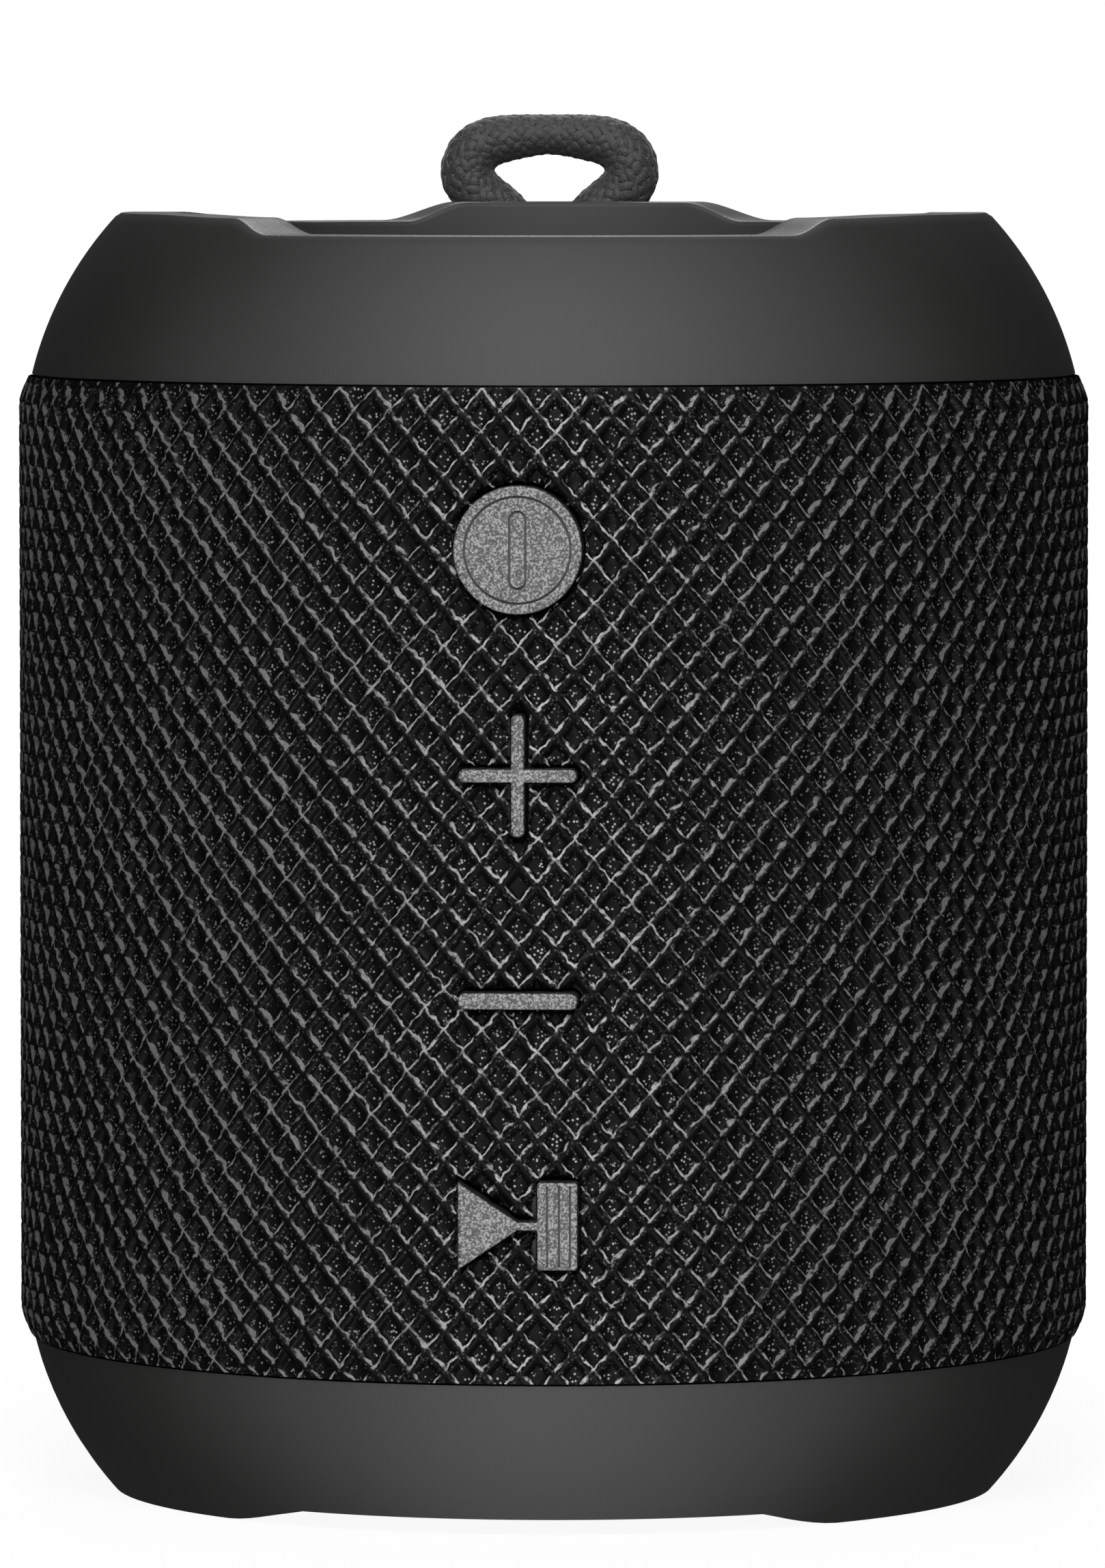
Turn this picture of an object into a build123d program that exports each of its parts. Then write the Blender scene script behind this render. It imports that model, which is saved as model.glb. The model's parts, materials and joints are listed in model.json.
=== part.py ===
from build123d import *
import os
from math import cos, pi, radians, sin, sqrt, tan

# Shower speaker: a short drum of mesh fabric between two soft-touch rubber caps.
# Millimetres, +Z up. The origin is the centre of the plane it stands on, and the keys face -Y.
# The two caps are laid out as mirror images, and the feet are then trimmed. The finished pieces
# are lowered by that trim as they are written, so that the feet stand on Z = 0.

# ---- driving sizes --------------------------------------------------------------------------
body_height = 108.0        # between the two rims, before the feet are trimmed
foot_trim = 0.6            # how much shorter the feet are than the lobes of the top rim
fabric_radius = 45.0       # the fabric's outer radius
seam_height = 13.5         # height of each end cap, up to the fabric's edge
seam_radius = 43.9         # a cap's outer radius at its seam
seam_lean = 13.7           # degrees that a cap leans in from the vertical at its seam
cap_arc = 30.0             # radius of the arc of a cap's side
rim_inner = 31.5           # inner radius of the raised rim at each end
hump_rise = 0.6            # how far the rear hump stands above the lobes
scoop_depth = 1.55         # depth of the front scoop in the top rim
foot_scoop_depth = 1.35    # depth of the scoops between the two feet
deck_depth = 3.6           # depth of the plates inside the rims
plate = 2.0                # thickness of those plates
fabric_edge = 44.2         # fabric radius where it is tucked in at the seams
fabric_bulge = 2.5         # height over which it swells to its full radius
fabric_inner = 43.5
seam_gap = 0.2             # shadow gap between fabric and cap
shell_outer = 43.4         # perforated shell under the fabric
shell_inner = 41.5
cabinet_radius = 41.2      # sealed acoustic cabinet
cabinet_flat = 34.0        # distance of its four flats from the axis
cabinet_wall = 2.4
cabinet_low = 17.0
cabinet_high = 91.0
gasket = 0.6               # thickness of the flat gaskets
lid = 2.4
mid_height = body_height / 2
key_pitch = 18.2           # spacing of the four keys
top_key = 81.3             # height of the power key's centre
key_face = 46.2            # the keys' front face, from the axis
key_gap = 0.25             # clearance round each key
lanyard_x = -2.8           # the wrist loop stands a little left of the middle
lanyard_y = 38.5
lanyard_pin_z = 98.7
cord_diameter = 4.1
door_axis_y = 39.4         # hinge of the port door
door_axis_z = 5.5
running_fit = 0.05         # radial clearance of a shaft that turns in its hole

# ---- shared helpers -------------------------------------------------------------------------
UP = (Align.CENTER, Align.CENTER, Align.MIN)
top_seam = body_height - seam_height
nodes = {}


def ring(outer, inner, low, high):
    """A plain tube about the Z axis."""
    bar = Cylinder(outer, high - low, align=UP)
    return Pos(0, 0, low) * (bar - Cylinder(inner, high - low, align=UP))


def disc(radius, low, high, x=0, y=0):
    """A plain upright cylinder."""
    return Pos(x, y, low) * Cylinder(radius, high - low, align=UP)


def block(x, y, z):
    """A box from three (low, high) pairs."""
    centre = Pos(sum(x) / 2, sum(y) / 2, sum(z) / 2)
    return centre * Box(x[1] - x[0], y[1] - y[0], z[1] - z[0])


def rod_x(radius, low, high, y, z):
    """A cylinder along X."""
    return Pos((low + high) / 2, y, z) * Rot(0, 90, 0) * Cylinder(radius, high - low)


def rod_y(radius, low, high, x, z):
    """A cylinder along Y."""
    return Pos(x, (low + high) / 2, z) * Rot(90, 0, 0) * Cylinder(radius, high - low)


def spun(points):
    """A solid turned about Z from a closed outline of (radius, height) points."""
    return revolve(Plane.XZ * make_face(Polyline(*points, close=True)), Axis.Z)


def mirrored(solid):
    """The same solid at the other end of the drum."""
    return mirror(solid, about=Plane.XY.offset(mid_height))


def four(solid):
    """Four copies of a solid, a quarter turn apart."""
    return [Rot(0, 0, 90 * turn) * solid for turn in range(4)]


# ---- end caps -------------------------------------------------------------------------------
arc_r = seam_radius - cap_arc * cos(radians(seam_lean))
arc_z = top_seam - cap_arc * sin(radians(seam_lean))


def cap_radius(z):
    """Outer radius of the top cap at a height."""
    return arc_r + sqrt(cap_arc**2 - (z - arc_z) ** 2)


def cap_envelope(high, inset=0.0):
    """The solid inside a top cap's outer surface, up to a height."""
    middle = (top_seam + high) / 2
    side = ThreePointArc(
        (cap_radius(top_seam) - inset, top_seam),
        (cap_radius(middle) - inset, middle),
        (cap_radius(high) - inset, high),
    )
    rest = Polyline(side @ 1, (0, high), (0, top_seam), side @ 0)
    return revolve(Plane.XZ * make_face([side, rest]), Axis.Z)


shelf_z = body_height - deck_depth - plate    # the shelf that carries the deck plate
shelf_inner = 25.5
skirt = 2.9                                   # wall thickness of a cap at its seam
groove = (34.2, 37.4)                         # hollow moulded under the rim
rim_top = body_height + hump_rise
cutter_top = body_height + 4
cutter_radii = (28, 48)


def cap_ring(high):
    """A hollow moulded cap with its raised rim and the shelf for a plate."""
    hollow = spun([
        (0, top_seam - 1),
        (seam_radius - skirt, top_seam - 1),
        (seam_radius - skirt, top_seam),
        (39.5, top_seam + 3.1),
        (36.0, shelf_z - plate),
        (shelf_inner, shelf_z - plate),
        (shelf_inner, shelf_z),
        (rim_inner, shelf_z),
        (rim_inner, high + 1),
        (0, high + 1),
    ])
    under_rim = ring(groove[1], groove[0], shelf_z - plate - 1, shelf_z + 2.8)
    return cap_envelope(high) - hollow - under_rim


def rim_section(angle, z):
    """Outline of what is cut away above the rim, in the plane at an angle from the front."""
    low, high = cutter_radii
    outline = Polyline((low, z), (high, z), (high, cutter_top), (low, cutter_top), close=True)
    return Rot(0, 0, angle - 90) * (Plane.XZ * make_face(outline))


def rim_flat(start, end, z):
    """Cuts the rim level at z between two angles."""
    return revolve(rim_section(start, z), Axis.Z, revolution_arc=end - start)


def smooth(share):
    """Eases out of one level and into the next."""
    return share * share * (3 - 2 * share)


def late(share):
    """Leaves one level at a corner and eases into the next."""
    return 1 - (1 - share) ** 1.6


def rim_slope(start, end, z_start, z_end, ease, steps=6):
    """Cuts a slope in the rim between two angles."""
    sections = []
    for step in range(steps + 1):
        share = step / steps
        angle = start + share * (end - start)
        sections.append(rim_section(angle, z_start + ease(share) * (z_end - z_start)))
    return loft(sections, ruled=True)


def rim_cutters(levels, ease):
    """Cuts a rim on both sides to a list of (angle from the front, height)."""
    cutters = []
    for (start, z_start), (end, z_end) in zip(levels, levels[1:]):
        if z_start == z_end:
            cutters.append(rim_flat(start, end, z_start))
        else:
            cutters.append(rim_slope(start, end, z_start, z_end, ease))
    return cutters + [mirror(cutter, about=Plane.YZ) for cutter in cutters]


scoop_z = body_height - scoop_depth
lobe_front_z = body_height - 0.2
rear_scoop_z = body_height - 1.0
top_cutters = rim_cutters([
    (0, scoop_z),
    (34.5, scoop_z),
    (42.3, lobe_front_z),
    (62, body_height),
    (95, body_height),
    (137, rear_scoop_z),
    (152.8, rear_scoop_z),
    (162.6, rim_top),
], smooth)

# The wrist loop's pocket is open to the rear and the top, behind the hump.
pocket_back = 35.7
pocket_half = 5.4
pocket_flare = 8.2
pocket_floor = top_seam + 1.4
boss = block(
    (lanyard_x - 9.4, lanyard_x + 9.4), (33.0, 46.0), (top_seam, rim_top)
) & cap_envelope(rim_top)
pocket_outline = Polyline(
    (lanyard_x - pocket_half, pocket_floor),
    (lanyard_x + pocket_half, pocket_floor),
    (lanyard_x + pocket_half, 102.6),
    (lanyard_x + pocket_flare, 105.8),
    (lanyard_x + pocket_flare, cutter_top),
    (lanyard_x - pocket_flare, cutter_top),
    (lanyard_x - pocket_flare, 105.8),
    (lanyard_x - pocket_half, 102.6),
    close=True,
)
pocket = extrude(Plane.XZ.offset(-50) * make_face(pocket_outline), 50 - pocket_back)
pin_radius = 1.0
pin_half = 8.0
pin_ends = (lanyard_x - pin_half, lanyard_x + pin_half)
lanyard_pin = rod_x(pin_radius, *pin_ends, lanyard_y, lanyard_pin_z)

screw_ring = 28.5          # the cap screws stand on this radius
screw_radius = 1.25
head_radius = 2.2
top_cap = cap_ring(rim_top) + boss - pocket - top_cutters - lanyard_pin
post = Rot(0, 0, 45) * Pos(screw_ring, 0, 0)
cap_screw = post * (
    disc(head_radius, shelf_z - 1.4, shelf_z - 0.2)
    + disc(screw_radius, shelf_z - 8.0, shelf_z - 1.4)
)
cap_screw_hole = post * disc(head_radius + 0.1, shelf_z - 1.4, shelf_z)
cap_screw_hole += post * disc(screw_radius, shelf_z - 9, shelf_z)
top_cap -= four(cap_screw_hole)
nodes["top_cap"] = top_cap
nodes["top_deck"] = disc(rim_inner - 0.1, shelf_z, shelf_z + plate)

# The bottom cap mirrors the top one, with a scoop at the front and the rear between two feet.
foot_z = body_height - foot_trim
foot_scoop_z = foot_z - foot_scoop_depth
front_scoop = rim_cutters([(0, foot_scoop_z), (30.5, foot_scoop_z), (42.5, foot_z)], late)
foot_cutters = front_scoop + [mirror(cutter, about=Plane.XZ) for cutter in front_scoop]
bottom_cap = mirrored(cap_ring(foot_z) - foot_cutters - four(cap_screw_hole))
bottom_envelope = mirrored(cap_envelope(foot_z))

# ---- charging and audio ports behind their door ----------------------------------------------
port_half = 10.5
port_floor = 38.6          # the sockets' openings are flush with this plane
port_low, port_high = 4.8, 11.6
port_back = 36.6           # back of the wall that the sockets stand in
door_skin = 1.6
barrel_half = 3.0          # the door's hinge barrel, in the middle of its lower edge
barrel_radius = 0.95
lug_end = 5.7              # two lugs, one at each side of the barrel, hold the hinge's pin
lug_radius = 1.45
lug_gap = 0.2
hinge_pin_radius = 0.5
door_clearance = 0.25


def on_hinge(radius, low, high):
    """A cylinder on the door's hinge axis."""
    return rod_x(radius, low, high, door_axis_y, door_axis_z)


def both_ends(solid):
    """A solid and its mirror image across the YZ plane."""
    return [solid, mirror(solid, about=Plane.YZ)]


port_boss = block((-13.4, 13.4), (port_back, 46), (body_height - foot_scoop_z + 1.35, 12.8))
port_room = block((-12, 12), (20, port_back), (5.7, 13.6))
port_recess = block((-port_half, port_half), (port_floor, 50), (port_low, port_high))
door_sweep = on_hinge(1.65, -port_half, port_half)
lug = on_hinge(lug_radius, barrel_half + lug_gap, lug_end)
lug += block(
    (barrel_half + lug_gap, lug_end),
    (door_axis_y - 2.4, door_axis_y),
    (door_axis_z - 0.6, door_axis_z + 0.6),
)
hinge_pin = on_hinge(hinge_pin_radius, -lug_end, lug_end)
usb_x, usb_z = -5.0, 8.33
usb_size = (8.94, 3.26)
jack_x, jack_z = 6.0, 9.2
jack_hole = 1.8
jack_barrel = 2.6
usb_outline = Pos(usb_x, usb_z) * RectangleRounded(*usb_size, usb_size[1] / 2 - 0.05)
usb_window = extrude(Plane.XZ.offset(-45) * usb_outline, 10)
jack_window = rod_y(jack_barrel + 0.1, 35, 45, jack_x, jack_z)
bottom_cap = bottom_cap - port_room + (port_boss & bottom_envelope)
bottom_cap = bottom_cap - port_recess - door_sweep - usb_window - jack_window
bottom_cap = bottom_cap + [end & bottom_envelope for end in both_ends(lug)] - hinge_pin
nodes["bottom_cap"] = bottom_cap

door_half = port_half - door_clearance
door_low = door_axis_z + 0.3
door_high = port_high - door_clearance
door_back = port_floor + 0.1
door_band = bottom_envelope - mirrored(cap_envelope(foot_z, inset=door_skin))
port_door = door_band & block((-door_half, door_half), (door_back, 50), (door_low, door_high))
notch = on_hinge(lug_radius + lug_gap, barrel_half, lug_end + lug_gap)
port_door -= both_ends(notch)
port_door += on_hinge(barrel_radius, -barrel_half, barrel_half)
port_door += block(
    (-barrel_half, barrel_half), (door_axis_y, port_floor + 1.8), (door_axis_z, door_low + 0.8)
)
port_door += block((-8.5, 8.5), (port_floor + 0.3, port_floor + 1.6), (7.4, 10.0))
port_door -= on_hinge(hinge_pin_radius + running_fit, -lug_end, lug_end)
nodes["port_door"] = port_door
nodes["door_hinge_pin"] = hinge_pin

base_plate_z = deck_depth
base_head_z = base_plate_z + 1.2
base_socket = 1.1          # radius of the drive socket in a base screw's head
base_screw_hole = disc(head_radius, base_plate_z, base_head_z, screw_ring)
base_screw_hole += disc(screw_radius, base_plate_z, base_head_z + 2.8, screw_ring)
bottom_plate = disc(rim_inner - 0.1, base_plate_z, base_plate_z + plate)
base_screw = disc(head_radius, base_plate_z, base_head_z, screw_ring)
base_screw -= disc(base_socket, base_plate_z, base_plate_z + 0.8, screw_ring)
base_screw += disc(screw_radius, base_head_z, base_head_z + 2.6, screw_ring)
three_posts = [0, 180, 270]
nodes["bottom_plate"] = bottom_plate - [Rot(0, 0, a) * base_screw_hole for a in three_posts]
nodes["bottom_cap"] -= [Rot(0, 0, a) * base_screw_hole for a in three_posts]
nodes["base_screws"] = [Rot(0, 0, a) * base_screw for a in three_posts]
nodes["cap_screws"] = four(cap_screw) + [mirrored(screw) for screw in four(cap_screw)]

board = 1.0                # thickness of the small circuit boards
port_board_z = 5.7
nodes["port_board"] = block((-11, 11), (20.5, 36.4), (port_board_z, port_board_z + board))
usb_length = 7.4
usb_wall = 0.3
tongue = (3.3, 0.35)       # half width and half thickness of the contact tongue
usb_shell = extrude(Plane.XZ.offset(-port_floor) * usb_outline, usb_length)
usb_bore = Pos(usb_x, usb_z) * RectangleRounded(
    usb_size[0] - 2 * usb_wall, usb_size[1] - 2 * usb_wall, usb_size[1] / 2 - 0.33
)
usb_shell -= extrude(Plane.XZ.offset(-port_floor) * usb_bore, usb_length - 1.0)
usb_shell += block(
    (usb_x - tongue[0], usb_x + tongue[0]),
    (port_floor - usb_length + 0.6, port_floor - 1.0),
    (usb_z - tongue[1], usb_z + tongue[1]),
)
nodes["usb_socket"] = usb_shell
jack_back = 24.6
jack_body = block((jack_x - 3, jack_x + 3), (jack_back, port_back), (port_board_z + board, 11.8))
jack_body += rod_y(jack_barrel, port_back, port_floor, jack_x, jack_z)
nodes["aux_jack"] = jack_body - rod_y(jack_hole, jack_back + 1, port_floor, jack_x, jack_z)

# ---- fabric sleeve and the perforated shell under it ------------------------------------------
keys = ["power", "volume_up", "volume_down", "play"]
key_z = {key: top_key - key_pitch * place for place, key in enumerate(keys)}


def key_outline(key):
    """Face of a key, in X and Z about its own centre."""
    if key == "power":
        return Circle(5.2)
    if key == "volume_up":
        return RectangleRounded(9.6, 1.1, 0.5) + RectangleRounded(1.1, 9.9, 0.5)
    if key == "volume_down":
        return RectangleRounded(9.7, 1.35, 0.6)
    arrow = make_face(Polyline((-4.85, -3.575), (-4.85, 3.575), (0.5, 0), close=True))
    link = Pos(0.85, 0) * Rectangle(1.9, 0.7)
    bars = Pos(3.2, 0) * RectangleRounded(3.3, 7.15, 0.3)
    return arrow + link + bars


def key_window(key):
    """The hole that a key stands in, through the fabric and the shell."""
    outline = offset(key_outline(key), key_gap)
    return extrude(Plane.XZ.offset(36) * Pos(0, key_z[key]) * outline, 12)


windows = [key_window(key) for key in keys]
sleeve_low = seam_height + seam_gap
sleeve_high = top_seam - seam_gap
sleeve = spun([
    (fabric_inner, sleeve_low),
    (fabric_edge, sleeve_low),
    (fabric_radius - 0.25, sleeve_low + fabric_bulge / 2),
    (fabric_radius, sleeve_low + fabric_bulge),
    (fabric_radius, sleeve_high - fabric_bulge),
    (fabric_radius - 0.25, sleeve_high - fabric_bulge / 2),
    (fabric_edge, sleeve_high),
    (fabric_inner, sleeve_high),
])
nodes["fabric_sleeve"] = sleeve - windows

slots = []
slot_rows = [mid_height + 13.5 * row for row in (-2, -1, 0, 1, 2)]
slot_angles = [side + 7.5 * step for side in (0, 90, 180) for step in range(-4, 5)]
for angle in slot_angles:
    for height in slot_rows:
        bar = Pos(42.4, 0, height) * Rot(0, 90, 0) * extrude(SlotOverall(10.5, 2.4), 3, both=True)
        slots.append(Rot(0, 0, angle) * bar)
shell = ring(shell_outer, shell_inner, seam_height, top_seam)
nodes["grille_shell"] = shell - windows - slots

# ---- sealed cabinet --------------------------------------------------------------------------
flats = block((-cabinet_flat, cabinet_flat), (-cabinet_flat, cabinet_flat), (0, body_height))
inside = cabinet_flat - cabinet_wall
flat_room = block((-inside, inside), (-inside, inside), (0, body_height))
driver_hole = 19.6
radiator_hole = (50.0, 34.0)


def slot_y(length, width, near, far, z=mid_height):
    """An upright racetrack block, facing along Y."""
    outline = Pos(0, z) * Rot(0, 0, 90) * SlotOverall(length, width)
    return extrude(Plane.XZ.offset(-far) * outline, far - near)


corner = 25.5              # lid screws, from the axis along X and Y
ribbon_z = 26.0
cabinet = disc(cabinet_radius, cabinet_low, cabinet_high) & flats
cavity = disc(cabinet_radius - 2.0, cabinet_low + cabinet_wall, cabinet_high) & flat_room
cabinet = cabinet - cavity
corner_posts = [
    disc(3.0, cabinet_low + 1, cabinet_high, x, y)
    for x in (-corner, corner) for y in (-corner, corner)
]
cabinet += corner_posts
lid_holes = [
    disc(screw_radius, cabinet_high - 8, cabinet_high + 10, x, y)
    for x in (-corner, corner) for y in (-corner, corner)
]
cabinet = cabinet - lid_holes - rod_x(driver_hole, -50, 50, 0, mid_height)
cabinet -= slot_y(*radiator_hole, 20, 50)
cabinet -= block((-6.2, 6.2), (-36, -30), (ribbon_z - 0.4, ribbon_z + 0.4))
cable_hole = disc(3.0, cabinet_low - 1, cabinet_low + 4, 0, 24)
cabinet -= cable_hole
low_post_z = body_height - shelf_z + plate
low_post = post * (disc(3.2, low_post_z, cabinet_low))
low_screw_hole = mirrored(post * disc(screw_radius, shelf_z - 8, shelf_z))
cabinet = cabinet + four(low_post) - four(low_screw_hole)
nodes["cabinet"] = cabinet
seat = disc(cabinet_radius, cabinet_high, cabinet_high + gasket) & flats
nodes["cabinet_gasket"] = seat - (disc(38.4, 80, 95) & block((-32.4, 32.4), (-32.4, 32.4), (80, 95)))
nodes["cabinet_gasket"] -= lid_holes
lid_low = cabinet_high + gasket
lid_high = lid_low + lid
cabinet_lid = disc(cabinet_radius, lid_low, lid_high) & flats
high_post = post * (disc(3.2, lid_high, shelf_z - plate))
high_screw_hole = post * disc(screw_radius, shelf_z - 8, shelf_z)
nodes["cabinet_lid"] = cabinet_lid + four(high_post) - lid_holes - four(high_screw_hole)
nodes["lid_screws"] = [
    disc(screw_radius, cabinet_high - 7, lid_high, x, y)
    + disc(head_radius, lid_high, lid_high + 1.3, x, y)
    for x in (-corner, corner) for y in (-corner, corner)
]

# ---- drivers, facing left and right ----------------------------------------------------------
flange_low = cabinet_flat + gasket
flange_high = flange_low + 1.2
flange_radius = 21.6
basket_back = 22.8
coil_radius = 7.0


def turned_x(points):
    """A solid turned about the drivers' common axis from (radius, distance along X) points."""
    outline = make_face(Polyline(*[(x, r) for r, x in points], close=True))
    solid = revolve(Plane.XZ * outline, Axis.X)
    return Pos(0, 0, mid_height) * solid


def driver_parts():
    """One driver as a dictionary of solids, facing +X."""
    parts = {}
    parts["gasket"] = turned_x([
        (driver_hole, cabinet_flat), (flange_radius, cabinet_flat),
        (flange_radius, flange_low), (driver_hole, flange_low),
    ])
    basket = turned_x([
        (8.2, basket_back), (13.0, basket_back), (19.2, cabinet_flat - 0.6),
        (19.2, flange_low), (flange_radius, flange_low), (flange_radius, flange_high),
        (18.0, flange_high), (18.0, cabinet_flat - 0.6), (12.2, basket_back + 1.2),
        (8.2, basket_back + 1.2),
    ])
    vent = Pos(28.5, 0, mid_height) * Box(5.0, 60, 9.0)
    vents = [Pos(0, 0, mid_height) * Rot(a, 0, 0) * Pos(0, 0, -mid_height) * vent for a in (45, 135)]
    parts["frame"] = basket - vents
    parts["yoke"] = turned_x([
        (0, 14.6), (10.5, 14.6), (10.5, basket_back), (7.6, basket_back), (7.6, 20.8),
        (8.6, 20.8), (8.6, 16.6), (0, 16.6),
    ])
    parts["magnet"] = turned_x([(0, 16.6), (6.3, 16.6), (6.3, basket_back), (0, basket_back)])
    parts["voice_coil"] = turned_x([
        (coil_radius - 0.25, 18.6), (coil_radius + 0.25, 18.6),
        (coil_radius + 0.25, 27.6), (coil_radius - 0.25, 27.6),
    ])
    parts["spider"] = turned_x([
        (7.6, 24.1), (9.0, 24.6), (10.2, 24.1), (11.6, 24.6), (12.4, 24.6),
        (12.4, 25.0), (11.6, 25.0), (10.2, 24.5), (9.0, 25.0), (7.6, 24.5),
    ])
    parts["cone"] = turned_x([
        (7.25, 27.0), (7.8, 27.0), (15.3, 34.0), (15.3, 34.5), (14.8, 34.5), (7.25, 27.6),
    ])
    parts["dust_cap"] = turned_x([
        (0, 30.2), (3.4, 29.6), (6.0, 28.4), (7.25, 27.6), (7.6, 28.0), (6.2, 29.0),
        (3.6, 30.2), (0, 30.8),
    ]) - parts["cone"]
    parts["surround"] = turned_x([
        (15.5, 35.2), (15.5, 34.8), (15.9, 34.8), (16.3, 36.2), (17.2, 36.7), (18.1, 36.2),
        (18.5, flange_high), (20.6, flange_high), (20.6, flange_high + 0.4),
        (18.8, flange_high + 0.4), (18.4, 36.6), (17.2, 37.2), (16.0, 36.6), (15.7, 35.2),
    ])
    return parts


for part_name, solid in driver_parts().items():
    if part_name == "gasket":
        nodes["driver_gaskets"] = [solid, Rot(0, 0, 180) * solid]
    else:
        nodes["right_" + part_name] = solid
        nodes["left_" + part_name] = Rot(0, 0, 180) * solid

# ---- passive radiator, facing the rear --------------------------------------------------------
radiator_frame = slot_y(56, 40, cabinet_flat, cabinet_flat + 1.4)
radiator_frame -= slot_y(*radiator_hole, cabinet_flat, cabinet_flat + 1.4)
nodes["radiator_frame"] = radiator_frame
lip = slot_y(49.8, 33.8, 34.4, 34.9) - slot_y(42.2, 26.2, 34.4, 34.9)
roll = slot_y(48.0, 32.0, 34.9, 36.6) - slot_y(44.6, 28.6, 34.9, 36.6)
nodes["radiator_surround"] = lip + roll
nodes["radiator_plate"] = slot_y(41.8, 25.8, 33.6, 35.6) - slot_y(24, 8, 34.8, 35.6)

# ---- battery and boards inside the cabinet -----------------------------------------------------
cell_y = 7.0
cell_low = 21.4
nodes["battery_cell"] = disc(9.25, cell_low, cell_low + 65.0, 0, cell_y)
cradle = ring(11.0, 9.3, cabinet_low + cabinet_wall, 86.0)
cradle -= block((-20, 20), (3.0, 20), (30.0, 80.0))
cradle += disc(9.3, cabinet_low + cabinet_wall, cell_low)
main_y = -14.0
spine = block((-4, 4), (main_y - cell_y, -10.4), (24, 84))
nodes["battery_cradle"] = Pos(0, cell_y, 0) * (cradle + spine)
nodes["main_board"] = block((-20, 20), (main_y - 1.6, main_y), (24, 84))
nodes["shield_can"] = block((-8, 8), (main_y - 4.2, main_y - 1.6), (60, 78))
chips = [block((x - 3, x + 3), (main_y - 2.7, main_y - 1.6), (z - 3, z + 3)) for x, z in
         ((-13, 48), (13, 48), (0, 50))]
capacitors = [rod_y(3.1, main_y - 8.6, main_y - 1.6, x, 36.5) for x in (-12, 0, 12)]
nodes["board_components"] = chips + capacitors
board_screw_z = (29.5, 81)
board_face = main_y - 1.6
screw_bites = [rod_y(1.0, board_face, main_y + 3.4, 0, z) for z in board_screw_z]
screw_heads = [rod_y(1.9, board_face - 1.4, board_face, 0, z) for z in board_screw_z]
nodes["board_screws"] = [bite + head for bite, head in zip(screw_bites, screw_heads)]
nodes["battery_cradle"] -= screw_bites
nodes["main_board"] -= [rod_y(1.1, board_face, main_y, 0, z) for z in board_screw_z]


def wire(points, radius, bend):
    """A round lead along straight runs joined by arcs."""
    path = FilletPolyline(*points, radius=bend)
    start = Plane(origin=path @ 0, z_dir=path % 0)
    return sweep(start * Circle(radius), path=path)


lead_radius = 0.6
speaker_leads = [
    wire([(side * 16, main_y, 44), (side * 16, -9, 44), (side * 16, -9, 40.5),
          (side * 21.5, -9, 40.5)], lead_radius, 1.4)
    for side in (-1, 1)
]
battery_leads = [
    wire([(side * 6, cell_y, 86.4), (side * 6, cell_y, 88.6), (side * 6, -12, 88.6),
          (side * 6, -12, 80), (side * 6, main_y, 80)], lead_radius, 0.9)
    for side in (-1, 1)
]
nodes["inner_leads"] = speaker_leads + battery_leads
cable_z = 22.6
nodes["port_cable"] = wire(
    [(0, 23.5, port_board_z + board), (0, 23.5, cable_z), (-14.5, 16, cable_z),
     (-14.5, -11, cable_z), (-14.5, -11, 28), (-14.5, main_y, 28)], 1.0, 1.3
)

# ---- keys, their switches and board ------------------------------------------------------------
key_board_y = cabinet_flat + 1.2
switch_top = key_board_y + 2.2
stem_end = switch_top + 1.0
flange_back = 39.9
nodes["button_board"] = block((-7, 7), (-key_board_y, -cabinet_flat), (21, 87))
nodes["tact_switches"] = [
    block((-3, 3), (-switch_top, -key_board_y), (key_z[key] - 3, key_z[key] + 3))
    - rod_y(1.8, -switch_top, -switch_top + 1.5, 0, key_z[key])
    for key in keys
]
nodes["button_frame"] = block((-8.6, 8.6), (-39.2, -cabinet_flat), (19, 89))
nodes["button_frame"] -= block((-7.4, 7.4), (-38.6, -cabinet_flat), (20.4, 87.6))
nodes["button_frame"] -= [rod_y(2.6, -40, -38, 0, key_z[key]) for key in keys]
ribbon_reach = (-cabinet_flat, main_y - 1.6)
nodes["button_ribbon"] = block((-6, 6), ribbon_reach, (ribbon_z - 0.15, ribbon_z + 0.15))

for key in keys:
    place = Pos(0, key_z[key])
    cap = extrude(Plane.XZ.offset(flange_back) * place * key_outline(key), key_face - flange_back)
    cap = fillet(cap.faces().sort_by(Axis.Y)[0].edges(), 0.22)
    flange = extrude(Plane.XZ.offset(flange_back) * place * RectangleRounded(12, 12, 3), 1.0)
    stem = rod_y(2.3, -flange_back, -stem_end, 0, key_z[key])
    solid = cap + flange + stem
    if key == "power":
        mark = Circle(4.4) - Circle(4.2)
        mark += RectangleRounded(1.5, 6.4, 0.74) - RectangleRounded(1.1, 6.0, 0.54)
        solid -= extrude(Plane.XZ.offset(key_face - 0.25) * place * mark, 1)
    if key == "play":
        lines = [Pos(x, 0) * Rectangle(0.18, 6.6) for x in (2.4, 3.35, 4.25)]
        solid -= [extrude(Plane.XZ.offset(key_face - 0.3) * place * line, 1) for line in lines]
    nodes[key + "_button"] = solid
    nodes[key + "_plunger"] = rod_y(1.6, -stem_end, -switch_top + 0.6, 0, key_z[key])

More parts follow.
